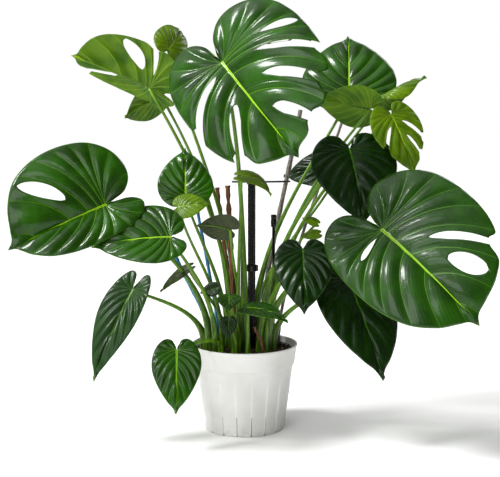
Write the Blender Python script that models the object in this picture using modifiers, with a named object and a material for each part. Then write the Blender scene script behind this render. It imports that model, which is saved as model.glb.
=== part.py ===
"""Potted monstera plant: a ribbed nursery pot, soil, leaves on their petioles, canes and a support.

Run with: blender --background --python part.py
Units are metres, +Z is up, and the origin is the centre of the pot's underside.
"""
from math import cos, pi, radians, sin, sqrt

import bmesh
import bpy
from mathutils import Vector

# Pot, a turned shell
POT_HEIGHT = 0.155
RIM_RADIUS = 0.095
BAND_HEIGHT = 0.036          # the plain band below the rim
BAND_FOOT_RADIUS = 0.0905
BAND_STEP = 0.0025           # the wall steps in under the band
BASE_RADIUS = 0.0725
WALL = 0.0016
FLOOR = 0.003
TURN_STEPS = 48

# Drain notches at the base edge, with a slit above each
NOTCHES = 18
NOTCH_WIDTH = 0.004
NOTCH_HEIGHT = 0.0045
SLIT_WIDTH = 0.0012
SLIT_HEIGHT = 0.030

# Soil
SOIL_TOP = 0.144
SOIL_SHOULDER = 0.004        # how far the surface falls at the pot wall
GAP = 0.0003                 # clearance between touching pieces

# Blades
BLADE_THICKNESS = 0.0012
VEIN_START = 0.34            # margin position where the side veins leave the junction
WELD = 0.00002
HOLE_END = 0.92              # no hole reaches further out than this
LARGE_GRID = (14, (0, 0.2, 0.4, 0.6, 0.8, HOLE_END, 1))  # steps along the margin, rings out to it
SMALL_GRID = (8, (0, 1 / 3, 2 / 3, 1))

# Petioles
PETIOLE_FOOT = 0.0032        # radii of a petiole with no blade, which grow with the blade's length
PETIOLE_END = 0.0016
FOOT_GROWTH = 0.010
END_GROWTH = 0.004
PETIOLE_POINTS = 9
STRAIGHT_FOOT = 0.005        # a stalk leaves the soil upright for this far
JUNCTION_DROP = 0.0042       # the petiole ends this far below the blade

# A half blade's outline: distance along the midrib, distance out, as fractions. Seen from the
# junction the points turn one way, so the side veins never cross.
OUTLINES = {
    "split": [(-0.10, 0.02), (-0.24, 0.08), (-0.33, 0.24), (-0.34, 0.45), (-0.27, 0.70),
              (-0.12, 0.90), (0.08, 0.99), (0.32, 1.0), (0.54, 0.95), (0.74, 0.81), (0.88, 0.58),
              (0.96, 0.29), (0.99, 0.09), (1.05, 0.0)],
    "broad": [(-0.10, 0.02), (-0.24, 0.08), (-0.33, 0.24), (-0.34, 0.45), (-0.27, 0.70),
              (-0.12, 0.90), (0.08, 0.99), (0.32, 1.0), (0.54, 0.93), (0.73, 0.77), (0.87, 0.50),
              (0.94, 0.24), (0.98, 0.08), (1.05, 0.0)],
    "heart": [(-0.06, 0.06), (-0.17, 0.20), (-0.18, 0.50), (-0.06, 0.82), (0.14, 1.0), (0.36, 0.97),
              (0.60, 0.72), (0.80, 0.38), (0.90, 0.14), (1.0, 0.0)],
}

COLOURS = {
    "pot": (0.84, 0.84, 0.83, 0.45),
    "soil": (0.02, 0.014, 0.01, 0.95),
    "black_plastic": (0.012, 0.012, 0.012, 0.45),
    "cane": (0.16, 0.13, 0.11, 0.8),
    "blue_cane": (0.03, 0.18, 0.42, 0.5),
    "root": (0.12, 0.05, 0.02, 0.85),
    "blade": (0.03, 0.13, 0.015, 0.3),
    "petiole": (0.13, 0.28, 0.03, 0.5),
}


def leaf(name, kind, at, heading, climb, roll, length, width, droop, foot, arrive,
         fold=10, cup=20, curl=0, skew=0.0, slits=(), grid=SMALL_GRID):
    """One leaf. heading 0 is +X and 90 is +Y, climb is up from level, roll turns the blade on its
    midrib, droop bends the midrib down over its length. foot is where the petiole leaves the soil
    and arrive is how steeply it rises into the junction. skew widens the left half and narrows the
    right, and curl cups the left half more and the right less. A slit is side, margin position,
    start and end from midrib to margin, and width along the margin."""
    return {"name": name, "kind": kind, "at": Vector(at), "heading": heading, "climb": climb,
            "roll": roll, "length": length, "width": width, "droop": droop, "foot": foot,
            "arrive": arrive, "fold": fold, "cup": cup, "curl": curl, "skew": skew,
            "slits": slits, "grid": grid}


TOP_SLITS = ((1, 0.475, 0.48, 0.92, 0.05), (1, 0.625, 0.38, 1, 0.055), (1, 0.765, 0.36, 1, 0.04),
             (1, 0.88, 0.36, 1, 0.035), (-1, 0.60, 0.2, 1, 0.08), (-1, 0.80, 0.3, 1, 0.05))
LEFT_SLITS = ((-1, 0.76, 0.3, 0.92, 0.07),)
RIGHT_SLITS = ((1, 0.745, 0.34, 1, 0.035), (1, 0.835, 0.40, 0.9, 0.065),
               (-1, 0.52, 0.16, 0.52, 0.06))
BACK_SLITS = ((1, 0.46, 0.30, 1, 0.06), (1, 0.65, 0.30, 0.92, 0.13), (-1, 0.82, 0.25, 1, 0.06))
HANGING_SLITS = ((1, 0.62, 0.30, 1, 0.06), (1, 0.78, 0.35, 1, 0.05), (-1, 0.66, 0.35, 1, 0.05))

LEAVES = [
    leaf("top_centre", "split", (-0.036, -0.10, 0.650), -50, -40, 58, 0.21, 0.130, 20,
         (0.000, -0.010), 60, fold=20, cup=40, curl=5, skew=0.15, slits=TOP_SLITS, grid=LARGE_GRID),
    leaf("front_left", "broad", (-0.23, -0.13, 0.415), -152, -20, -55, 0.168, 0.094, 10,
         (-0.062, -0.022), 35, fold=28, cup=30, skew=-0.30, slits=LEFT_SLITS, grid=LARGE_GRID),
    leaf("front_right", "broad", (0.23, -0.13, 0.373), -48, -30, 45, 0.218, 0.127, 25,
         (0.038, -0.028), 25, fold=15, cup=25, skew=0.13, slits=RIGHT_SLITS, grid=LARGE_GRID),
    leaf("left_second", "heart", (-0.12, -0.165, 0.365), -170, 0, -40, 0.13, 0.066, 20,
         (-0.050, -0.046), 45, skew=-0.15),
    leaf("mid_left", "heart", (-0.101, -0.062, 0.423), 95, 65, 0, 0.098, 0.048, 15,
         (-0.030, 0.010), 70),
    leaf("small_lime", "heart", (-0.111, -0.104, 0.409), -8, 12, 50, 0.054, 0.026, 20,
         (-0.040, 0.000), 70),
    leaf("centre_grey", "heart", (-0.024, -0.064, 0.367), -170, 20, 55, 0.065, 0.030, 40,
         (-0.006, 0.020), 75),
    leaf("top_left", "split", (-0.166, 0.0, 0.611), 180, 25, 64, 0.142, 0.054, 12,
         (-0.020, 0.002), 60, fold=30, cup=10, skew=0.30, slits=BACK_SLITS, grid=LARGE_GRID),
    leaf("top_left_low", "heart", (-0.156, 0.105, 0.599), 205, -18, 52, 0.09, 0.045, 30,
         (-0.026, 0.026), 55),
    leaf("top_small", "heart", (-0.140, 0.10, 0.686), 60, 42, 60, 0.10, 0.040, 50,
         (-0.010, 0.038), 75, fold=20, cup=70),
    leaf("top_right", "heart", (0.195, 0.10, 0.600), 86, 52, 0, 0.17, 0.088, 15,
         (0.016, 0.028), 60),
    leaf("right_lime", "heart", (0.224, 0.018, 0.575), 178, 12, 55, 0.10, 0.045, 10,
         (0.042, 0.018), 50),
    leaf("right_curled", "heart", (0.252, 0.058, 0.600), 20, 25, -20, 0.095, 0.045, 10,
         (0.032, 0.036), 55, cup=100),
    leaf("right_hanging", "heart", (0.26, 0.0, 0.565), -40, -60, 25, 0.115, 0.052, 15,
         (0.044, 0.002), 45, slits=HANGING_SLITS),
    leaf("right_dark", "heart", (0.185, -0.02, 0.505), -66, -60, 10, 0.14, 0.078, 25,
         (0.028, -0.010), 50, fold=14),
    leaf("back_dark", "heart", (0.182, 0.125, 0.470), 170, -5, -45, 0.115, 0.05, 20,
         (0.014, 0.046), 65),
    leaf("lower_right", "heart", (0.18, -0.06, 0.28), -60, -50, 5, 0.19, 0.075, 15,
         (0.050, -0.014), 30),
    leaf("mid_right", "heart", (0.10, -0.10, 0.335), -90, -50, 0, 0.115, 0.05, 25,
         (0.026, -0.034), 50),
    leaf("low_left", "heart", (-0.195, -0.05, 0.26), -130, -50, -15, 0.175, 0.042, 20,
         (-0.072, -0.002), 25, fold=20),
    leaf("low_front", "heart", (-0.115, -0.11, 0.165), -88, -50, 0, 0.112, 0.042, 25,
         (-0.040, -0.052), -20),
    leaf("centre_small", "heart", (-0.026, -0.085, 0.254), -90, -20, 0, 0.04, 0.02, 25,
         (-0.008, -0.034), 70),
    leaf("above_support", "heart", (-0.005, -0.06, 0.46), -5, 0, 25, 0.07, 0.022, 80,
         (-0.012, -0.020), 80),
    leaf("low_right_small", "heart", (0.006, -0.075, 0.232), -25, 5, 12, 0.08, 0.03, 45,
         (0.006, -0.054), 60),
]

# Plant support, black plastic: a post, a hoop behind its cap, a collar, and a shorter leg
POST = (0.013, 0.010)
POST_RADIUS = 0.0065
POST_TOP = 0.449
CAP_RADIUS = 0.0085
CAP_HEIGHT = 0.008
HOOP_WIRE = 0.0016
HOOP_RADIUS = 0.15
HOOP_ENDS = (-0.022, 0.082)
HOOP_HEIGHT = 0.445
HOOP_POINTS = 7
COLLAR_RADIUS = 0.012
COLLAR_HEIGHTS = (0.285, 0.295)
LEG = (0.053, 0.030)
LEG_RADIUS = 0.0028
LEG_TOP = 0.385
LEG_CAP_RADIUS = 0.005
LEG_CAP_HEIGHT = 0.022
CAP_EDGE = 0.0012            # how far a cap's edge is rounded in

# Thin upright pieces: foot in the soil, top, radius at foot and top
CANES = {
    "cane_right": ((0.062, 0.026), (0.195, 0.085, 0.600), 0.0030, 0.0024, "cane"),
    "cane_back": ((0.030, 0.058), (0.105, 0.120, 0.575), 0.0045, 0.0040, "cane"),
    "blue_cane_tall": ((-0.048, 0.024), (-0.088, 0.024, 0.410), 0.0030, 0.0027, "blue_cane"),
    "blue_cane_short": ((-0.058, 0.008), (-0.128, 0.010, 0.318), 0.0040, 0.0036, "blue_cane"),
    "dried_stem_centre": ((-0.018, -0.008), (-0.030, -0.008, 0.440), 0.0042, 0.0034, "root"),
    "dried_stem_left": ((-0.020, 0.052), (-0.052, 0.098, 0.430), 0.0038, 0.0032, "root"),
    "aerial_root": ((0.034, -0.056), (0.018, -0.062, 0.195), 0.0022, 0.0018, "root"),
}


def clear_scene():
    for item in list(bpy.data.objects):
        bpy.data.objects.remove(item, do_unlink=True)


def new_collection(name):
    collection = bpy.data.collections.new(name)
    bpy.context.scene.collection.children.link(collection)
    return collection


def add_object(name, data, collection, colour):
    """Put data in the scene as an object with a material of its own."""
    item = bpy.data.objects.new(name, data)
    collection.objects.link(item)
    red, green, blue, roughness = COLOURS[colour]
    material = bpy.data.materials.new(name)
    material.use_nodes = True
    shader = material.node_tree.nodes["Principled BSDF"]
    shader.inputs["Base Color"].default_value = (red, green, blue, 1.0)
    shader.inputs["Roughness"].default_value = roughness
    data.materials.append(material)
    return item


def turned(name, profile, collection, colour):
    """A profile of (radius, height) turned about Z."""
    mesh = bpy.data.meshes.new(name)
    points = [(radius, 0.0, height) for radius, height in profile]
    mesh.from_pydata(points, [(i, i + 1) for i in range(len(points) - 1)], [])
    item = add_object(name, mesh, collection, colour)
    screw = item.modifiers.new("turn", "SCREW")
    screw.steps = TURN_STEPS
    screw.render_steps = TURN_STEPS
    screw.use_merge_vertices = True
    screw.merge_threshold = 0.00005
    return item


def box_cutter(name, size, centre, angle, collection):
    """A box that cuts, turned about Z by angle."""
    mesh = bpy.data.meshes.new(name)
    bm = bmesh.new()
    bmesh.ops.create_cube(bm, size=1.0)
    for vert in bm.verts:
        vert.co = Vector((vert.co.x * size[0], vert.co.y * size[1], vert.co.z * size[2]))
    bm.to_mesh(mesh)
    bm.free()
    item = bpy.data.objects.new(name, mesh)
    collection.objects.link(item)
    item.location = centre
    item.rotation_euler[2] = angle
    item.hide_render = True
    item.display_type = "WIRE"
    return item


def wall_radius(height):
    """The pot wall's outer radius at a height."""
    band_foot = POT_HEIGHT - BAND_HEIGHT
    if height >= band_foot:
        share = (height - band_foot) / BAND_HEIGHT
        return BAND_FOOT_RADIUS + share * (RIM_RADIUS - BAND_FOOT_RADIUS)
    body_top = BAND_FOOT_RADIUS - BAND_STEP
    return BASE_RADIUS + height / band_foot * (body_top - BASE_RADIUS)


def make_pot(parts, cutters):
    band_foot = POT_HEIGHT - BAND_HEIGHT
    step = 0.0015
    edge = 0.0015
    profile = [
        (0.0, FLOOR),
        (wall_radius(FLOOR) - WALL, FLOOR),
        (wall_radius(band_foot - step) - WALL, band_foot),
        (wall_radius(band_foot) - WALL, band_foot + step),
        (RIM_RADIUS - WALL, POT_HEIGHT - 0.0004),
        (RIM_RADIUS - 0.0004, POT_HEIGHT),
        (RIM_RADIUS + 0.001, POT_HEIGHT - 0.001),
        (RIM_RADIUS + 0.001, POT_HEIGHT - 0.003),
        (RIM_RADIUS - 0.0004, POT_HEIGHT - 0.0045),
        (BAND_FOOT_RADIUS, band_foot),
        (wall_radius(band_foot - step), band_foot - step),
        (wall_radius(edge), edge),
        (BASE_RADIUS - edge, 0.0),
        (0.0, 0.0),
    ]
    pot = turned("pot", profile, parts, "pot")
    for index in range(NOTCHES):
        angle = 2 * pi * index / NOTCHES
        radius = BASE_RADIUS + 0.002
        tools = [("notch", (0.010, NOTCH_WIDTH, 2 * NOTCH_HEIGHT), 0.0),
                 ("slit", (0.016, SLIT_WIDTH, SLIT_HEIGHT), SLIT_HEIGHT / 2 + 0.0035)]
        for kind, size, height in tools:
            centre = (radius * cos(angle), radius * sin(angle), height)
            cutter = box_cutter(f"{kind}_cutter_{index}", size, centre, angle, cutters)
            cut = pot.modifiers.new(f"{kind}_{index}", "BOOLEAN")
            cut.operation = "DIFFERENCE"
            cut.object = cutter
    return pot


def make_soil(parts):
    band_foot = POT_HEIGHT - BAND_HEIGHT
    inner = WALL + GAP
    floor = FLOOR + GAP
    shoulder = SOIL_TOP - SOIL_SHOULDER
    profile = [
        (0.0, SOIL_TOP),
        (0.070, SOIL_TOP),
        (wall_radius(shoulder) - inner, shoulder),
        (wall_radius(band_foot) - inner, band_foot + 0.003),
        (wall_radius(band_foot - 0.0015) - inner - 0.0005, band_foot - 0.001),
        (wall_radius(floor) - inner - 0.0004, floor),
        (0.0, floor),
    ]
    turned("soil", profile, parts, "soil")


def rod(name, points, radii, parts, colour):
    """A capped round rod through points, with a radius at each."""
    curve = bpy.data.curves.new(name, "CURVE")
    curve.dimensions = "3D"
    curve.bevel_depth = 1.0
    curve.bevel_resolution = 2
    curve.use_fill_caps = True
    spline = curve.splines.new("POLY")
    spline.points.add(len(points) - 1)
    for point, place, radius in zip(spline.points, points, radii):
        point.co = (*place, 1.0)
        point.radius = radius
    return add_object(name, curve, parts, colour)


def bezier(start, lift, lead, end, count):
    """Points along a cubic curve."""
    points = []
    for index in range(count):
        t = index / (count - 1)
        s = 1 - t
        points.append(s ** 3 * start + 3 * s * s * t * lift + 3 * s * t * t * lead + t ** 3 * end)
    return points


def outline_point(kind, t):
    """A smooth curve through the outline's points, t from the sinus to the tip."""
    points = [Vector(point) for point in OUTLINES[kind]]
    steps = [Vector((b.x - a.x, 0.5 * (b.y - a.y))).length for a, b in zip(points, points[1:])]
    along = t * sum(steps)
    index = 0
    while index < len(steps) - 1 and along > steps[index]:
        along -= steps[index]
        index += 1
    u = along / steps[index]
    padded = [2 * points[0] - points[1]] + points + [2 * points[-1] - points[-2]]
    a, b, c, d = padded[index:index + 4]
    return 0.5 * (2 * b + (c - a) * u + (2 * a - 5 * b + 4 * c - d) * u ** 2
                  + (3 * b - a - 3 * c + d) * u ** 3)


def half_width(blade, side):
    return blade["width"] * (1 + side * blade["skew"])


def flat_point(blade, width, t, r):
    """A point of the flat half blade: t along the margin, r from midrib to margin on a side vein."""
    edge = outline_point(blade["kind"], t)
    edge = Vector((edge.x * blade["length"], edge.y * width))
    share = max(0.0, (t - VEIN_START) / (1 - VEIN_START))
    root = Vector((blade["length"] * share ** 3, 0.0))
    bend = Vector((root.x + 0.25 * (edge.x - root.x), 0.65 * edge.y))
    return (1 - r) ** 2 * root + 2 * r * (1 - r) * bend + r * r * edge


def blade_axes(blade):
    """The blade's directions at the junction: along the midrib, out of the top, to the left."""
    heading, climb, roll = (radians(blade[key]) for key in ("heading", "climb", "roll"))
    along = Vector((cos(climb) * cos(heading), cos(climb) * sin(heading), sin(climb)))
    top = (Vector((0, 0, 1)) - along.z * along).normalized()
    top = cos(roll) * top + sin(roll) * along.cross(top)
    return along, top, top.cross(along)


def bent_point(blade, flat, side):
    """Fold and cup the half blade, bend it along the midrib, and put it in its place."""
    along, top, left = blade_axes(blade)
    fold = radians(blade["fold"])
    cup = radians(blade["cup"] + side * blade["curl"]) / half_width(blade, side)
    out = (sin(fold) - sin(fold - cup * flat.y)) / cup
    rise = (cos(fold - cup * flat.y) - cos(fold)) / cup
    bend = radians(blade["droop"]) / blade["length"]
    angle = bend * flat.x
    forward = sin(angle) / bend + rise * sin(angle)
    height = -(1 - cos(angle)) / bend + rise * cos(angle)
    return blade["at"] + forward * along + height * top + side * out * left


def slit_half_width(slit, r):
    """Half a slit's width at r. A slit that ends before the margin is a hole."""
    _, _, start, end, width = slit
    if r <= start or (end < 1 and r >= end):
        return 0.0
    x = (r - start) / (end - start)
    if end < 1:
        return width / 2 * sqrt(sin(pi * x))
    return width / 2 * sqrt(min(1.0, x / 0.3))


def add_half_blade(bm, blade, side):
    """Strips of faces between the slits. Strips meet where a slit has no width, and both halves
    have strips at the same places, so that they share their points along the midrib."""
    margin_steps, rings = blade["grid"]
    width = half_width(blade, side)
    own = {slit[1]: slit for slit in blade["slits"] if slit[0] == side}
    places = sorted({slit[1] for slit in blade["slits"]} | {0.0, 1.0})
    bounds = [(place, own.get(place)) for place in places]
    for (start, first), (end, last) in zip(bounds, bounds[1:]):
        steps = max(2, round(margin_steps * (end - start)))
        grid = []
        for column in range(steps + 1):
            share = column / steps
            line = []
            for r in rings:
                low = start + (slit_half_width(first, r) if first else 0.0)
                high = end - (slit_half_width(last, r) if last else 0.0)
                flat = flat_point(blade, width, low + share * (high - low), r)
                line.append(bm.verts.new(bent_point(blade, flat, side)))
            grid.append(line)
        for column in range(steps):
            for ring in range(len(rings) - 1):
                corners = [grid[column][ring], grid[column + 1][ring],
                           grid[column + 1][ring + 1], grid[column][ring + 1]]
                bm.faces.new(corners if side > 0 else corners[::-1])


def make_blade(blade, parts):
    bm = bmesh.new()
    add_half_blade(bm, blade, 1)
    add_half_blade(bm, blade, -1)
    bmesh.ops.remove_doubles(bm, verts=bm.verts, dist=WELD)
    mesh = bpy.data.meshes.new(blade["name"])
    bm.to_mesh(mesh)
    bm.free()
    item = add_object("leaf_" + blade["name"], mesh, parts, "blade")
    shell = item.modifiers.new("thickness", "SOLIDIFY")
    shell.thickness = BLADE_THICKNESS
    shell.offset = 0.0


def make_petiole(blade, parts):
    """A tapered stalk from the soil to just below the blade's junction."""
    _, top, _ = blade_axes(blade)
    soil_point = Vector((*blade["foot"], SOIL_TOP + GAP))
    start = soil_point + Vector((0, 0, STRAIGHT_FOOT))
    end = blade["at"] - JUNCTION_DROP * top
    reach = Vector((end.x - start.x, end.y - start.y, 0))
    steepness = radians(blade["arrive"])
    arrive = cos(steepness) * reach.normalized() + Vector((0, 0, sin(steepness)))
    span = (end - start).length
    lift = start + Vector((0, 0, 0.40 * span))
    points = [soil_point] + bezier(start, lift, end - 0.30 * span * arrive, end, PETIOLE_POINTS)
    foot_radius = PETIOLE_FOOT + FOOT_GROWTH * blade["length"]
    end_radius = PETIOLE_END + END_GROWTH * blade["length"]
    radii = [foot_radius + (end_radius - foot_radius) * max(0, i - 1) / (PETIOLE_POINTS - 1)
             for i in range(PETIOLE_POINTS + 1)]
    rod("petiole_" + blade["name"], points, radii, parts, "petiole")


def capped_rod(name, place, radius, top, cap_radius, cap_height, parts):
    """An upright rod from the soil, with a wider cap at its top."""
    shoulder = top - cap_height
    heights = [SOIL_TOP + GAP, shoulder - CAP_EDGE, shoulder, top - CAP_EDGE, top]
    radii = [radius, radius, cap_radius, cap_radius, cap_radius - CAP_EDGE]
    rod(name, [Vector((*place, height)) for height in heights], radii, parts, "black_plastic")


def make_support(parts):
    x, y = POST
    capped_rod("support_post", POST, POST_RADIUS, POST_TOP, CAP_RADIUS, CAP_HEIGHT, parts)
    capped_rod("support_leg", LEG, LEG_RADIUS, LEG_TOP, LEG_CAP_RADIUS, LEG_CAP_HEIGHT, parts)
    behind = y + CAP_RADIUS + HOOP_WIRE + GAP
    left, right = HOOP_ENDS
    hoop = []
    for index in range(HOOP_POINTS):
        place = left + (right - left) * index / (HOOP_POINTS - 1)
        back = HOOP_RADIUS - sqrt(HOOP_RADIUS ** 2 - (place - x) ** 2)
        hoop.append(Vector((place, behind + back, HOOP_HEIGHT)))
    rod("support_hoop", hoop, [HOOP_WIRE] * HOOP_POINTS, parts, "black_plastic")
    inner = POST_RADIUS + GAP
    low, high = COLLAR_HEIGHTS
    collar = [(inner, low), (inner, high), (COLLAR_RADIUS, high), (COLLAR_RADIUS, low), (inner, low)]
    turned("support_collar", collar, parts, "black_plastic").location = (x, y, 0.0)


def make_canes(parts):
    """Thin rods that lean out from the soil."""
    for name, (foot, top, foot_radius, top_radius, colour) in CANES.items():
        soil_point = Vector((*foot, SOIL_TOP + GAP))
        start = soil_point + Vector((0, 0, STRAIGHT_FOOT))
        top = Vector(top)
        lift = start + Vector((0, 0, 0.25 * (top - start).length))
        points = [soil_point] + bezier(start, lift, start.lerp(top, 0.7), top, 5)
        radii = [foot_radius + (top_radius - foot_radius) * i / 5 for i in range(6)]
        rod(name, points, radii, parts, colour)


def build():
    clear_scene()
    parts = new_collection("potted_monstera")
    cutters = new_collection("cutters")
    make_pot(parts, cutters)
    make_soil(parts)
    for blade in LEAVES:
        make_blade(blade, parts)
        make_petiole(blade, parts)
    make_support(parts)
    make_canes(parts)


build()
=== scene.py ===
"""The looks of the potted monstera: veined waxy leaves, stalks, a ribbed nursery pot, soil, canes
and a plant support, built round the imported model. Metres, +Z up, front towards -Y.
"""
from math import cos, pi, radians, sin

import bmesh
import bpy
import numpy as np
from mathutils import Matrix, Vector


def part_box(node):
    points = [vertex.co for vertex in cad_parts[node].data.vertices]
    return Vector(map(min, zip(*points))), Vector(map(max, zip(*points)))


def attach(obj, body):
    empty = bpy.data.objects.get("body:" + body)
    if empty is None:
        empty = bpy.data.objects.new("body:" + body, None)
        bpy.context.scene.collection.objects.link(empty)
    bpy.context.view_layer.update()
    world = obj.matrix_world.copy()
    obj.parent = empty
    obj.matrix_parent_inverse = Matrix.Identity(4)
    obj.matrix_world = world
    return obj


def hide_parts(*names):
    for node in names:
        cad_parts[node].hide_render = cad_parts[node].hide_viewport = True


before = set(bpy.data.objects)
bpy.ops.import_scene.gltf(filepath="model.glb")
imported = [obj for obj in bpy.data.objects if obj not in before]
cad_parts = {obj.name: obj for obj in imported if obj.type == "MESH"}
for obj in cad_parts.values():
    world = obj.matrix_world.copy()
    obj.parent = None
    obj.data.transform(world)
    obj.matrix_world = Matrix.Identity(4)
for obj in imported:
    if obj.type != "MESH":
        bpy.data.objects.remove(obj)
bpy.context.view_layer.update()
BODY = "root"
MM = 0.001

# ---- the plant's design
# The same leaves as the model's. Angles in degrees, sizes in metres.
LOBES = [(-0.1, 0.02), (-0.24, 0.08), (-0.33, 0.24), (-0.34, 0.45), (-0.27, 0.7), (-0.12, 0.9),
         (0.08, 0.99), (0.32, 1.0)]
OUTLINES = {
    "split": LOBES + [(0.54, 0.95), (0.74, 0.81), (0.88, 0.58), (0.96, 0.29), (0.99, 0.09),
                      (1.05, 0.0)],
    "broad": LOBES + [(0.54, 0.93), (0.73, 0.77), (0.87, 0.5), (0.94, 0.24), (0.98, 0.08),
                      (1.05, 0.0)],
    "heart": [(-0.06, 0.06), (-0.17, 0.2), (-0.18, 0.5), (-0.06, 0.82), (0.14, 1.0),
              (0.36, 0.97), (0.6, 0.72), (0.8, 0.38), (0.9, 0.14), (1.0, 0.0)],
}
VEIN_START = 0.34            # margin position where the side veins leave the junction
VEIN_SPACING = 0.1           # margin share between main side veins
LARGE_LENGTH = 0.24          # blade length whose rib and veins have the half widths below
VEIN_HALF_WIDTH = 0.001
RIB_HALF_WIDTH = 0.003
EDGE_WAVE = 0.006            # wave of the margin, as a share of the blade's length
FINGER_TRIM, FINGER_ROUND = 0.1, 0.022   # how much and how far a finger's corners are rounded
PUFF = 0.21                  # how far the skin bulges between veins, as a share of their spacing
CRINKLE = 0.0012
BLADE_THICKNESS = 0.0006
WELD = 0.00002
SOIL_TOP = 0.144
SUNK = 0.002                 # how far stalks and canes go into the soil
FOOT_GROWTH, FOOT_RADIUS = 0.01, 0.0032
END_GROWTH, END_RADIUS = 0.004, 0.0016
SHEATH_GROWTH = 4.5          # how much thicker a stalk's sheath is, per metre of its blade
STRAIGHT_FOOT = 0.005
JUNCTION_DROP = 0.0042
PAPERY_RIBS = 0.28           # depth of a dried sheath's folds, as a share of its radius
# How fine a blade's mesh is: steps along the margin, rings from midrib to margin.
LARGE, MEDIUM, SMALL = ({"steps": steps, "rings": rings} for steps, rings in
                        ((120, 30), (84, 22), (48, 14)))


def leaf(name, kind, at, heading, climb, roll, length, width, droop, foot, arrive,
         fold=10, cup=20, curl=0, skew=0.0, slits=(), tone="deep", extra=False, mesh=SMALL):
    """One leaf, as in the model, with its tone and the fineness of its mesh. An extra leaf stands
    for no node of the model."""
    return dict(name=name, kind=kind, at=np.array(at), heading=heading, climb=climb, roll=roll,
                length=length, width=width, droop=droop, foot=foot, arrive=arrive, fold=fold,
                cup=cup, curl=curl, skew=skew, slits=slits, tone=tone, **mesh,
                stands_for=[] if extra else ["leaf_" + name],
                stalk_for=[] if extra else ["petiole_" + name])


# A slit: which half, its place along the margin, start and end from midrib to margin, and width.
TOP_SLITS = ((1, 0.475, 0.48, 0.92, 0.05), (1, 0.625, 0.38, 1, 0.055), (1, 0.765, 0.36, 1, 0.04),
             (1, 0.88, 0.36, 1, 0.035), (-1, 0.6, 0.2, 1, 0.08), (-1, 0.8, 0.3, 1, 0.05))
LEFT_SLITS = ((-1, 0.76, 0.3, 0.92, 0.07),)
RIGHT_SLITS = ((1, 0.745, 0.34, 1, 0.035), (1, 0.835, 0.4, 0.9, 0.065),
               (-1, 0.52, 0.16, 0.52, 0.06))
BACK_SLITS = ((1, 0.46, 0.3, 1, 0.06), (1, 0.65, 0.3, 0.92, 0.13), (-1, 0.82, 0.25, 1, 0.06))
HANGING_SLITS = ((1, 0.62, 0.3, 1, 0.06), (1, 0.78, 0.35, 1, 0.05), (-1, 0.66, 0.35, 1, 0.05))

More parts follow.
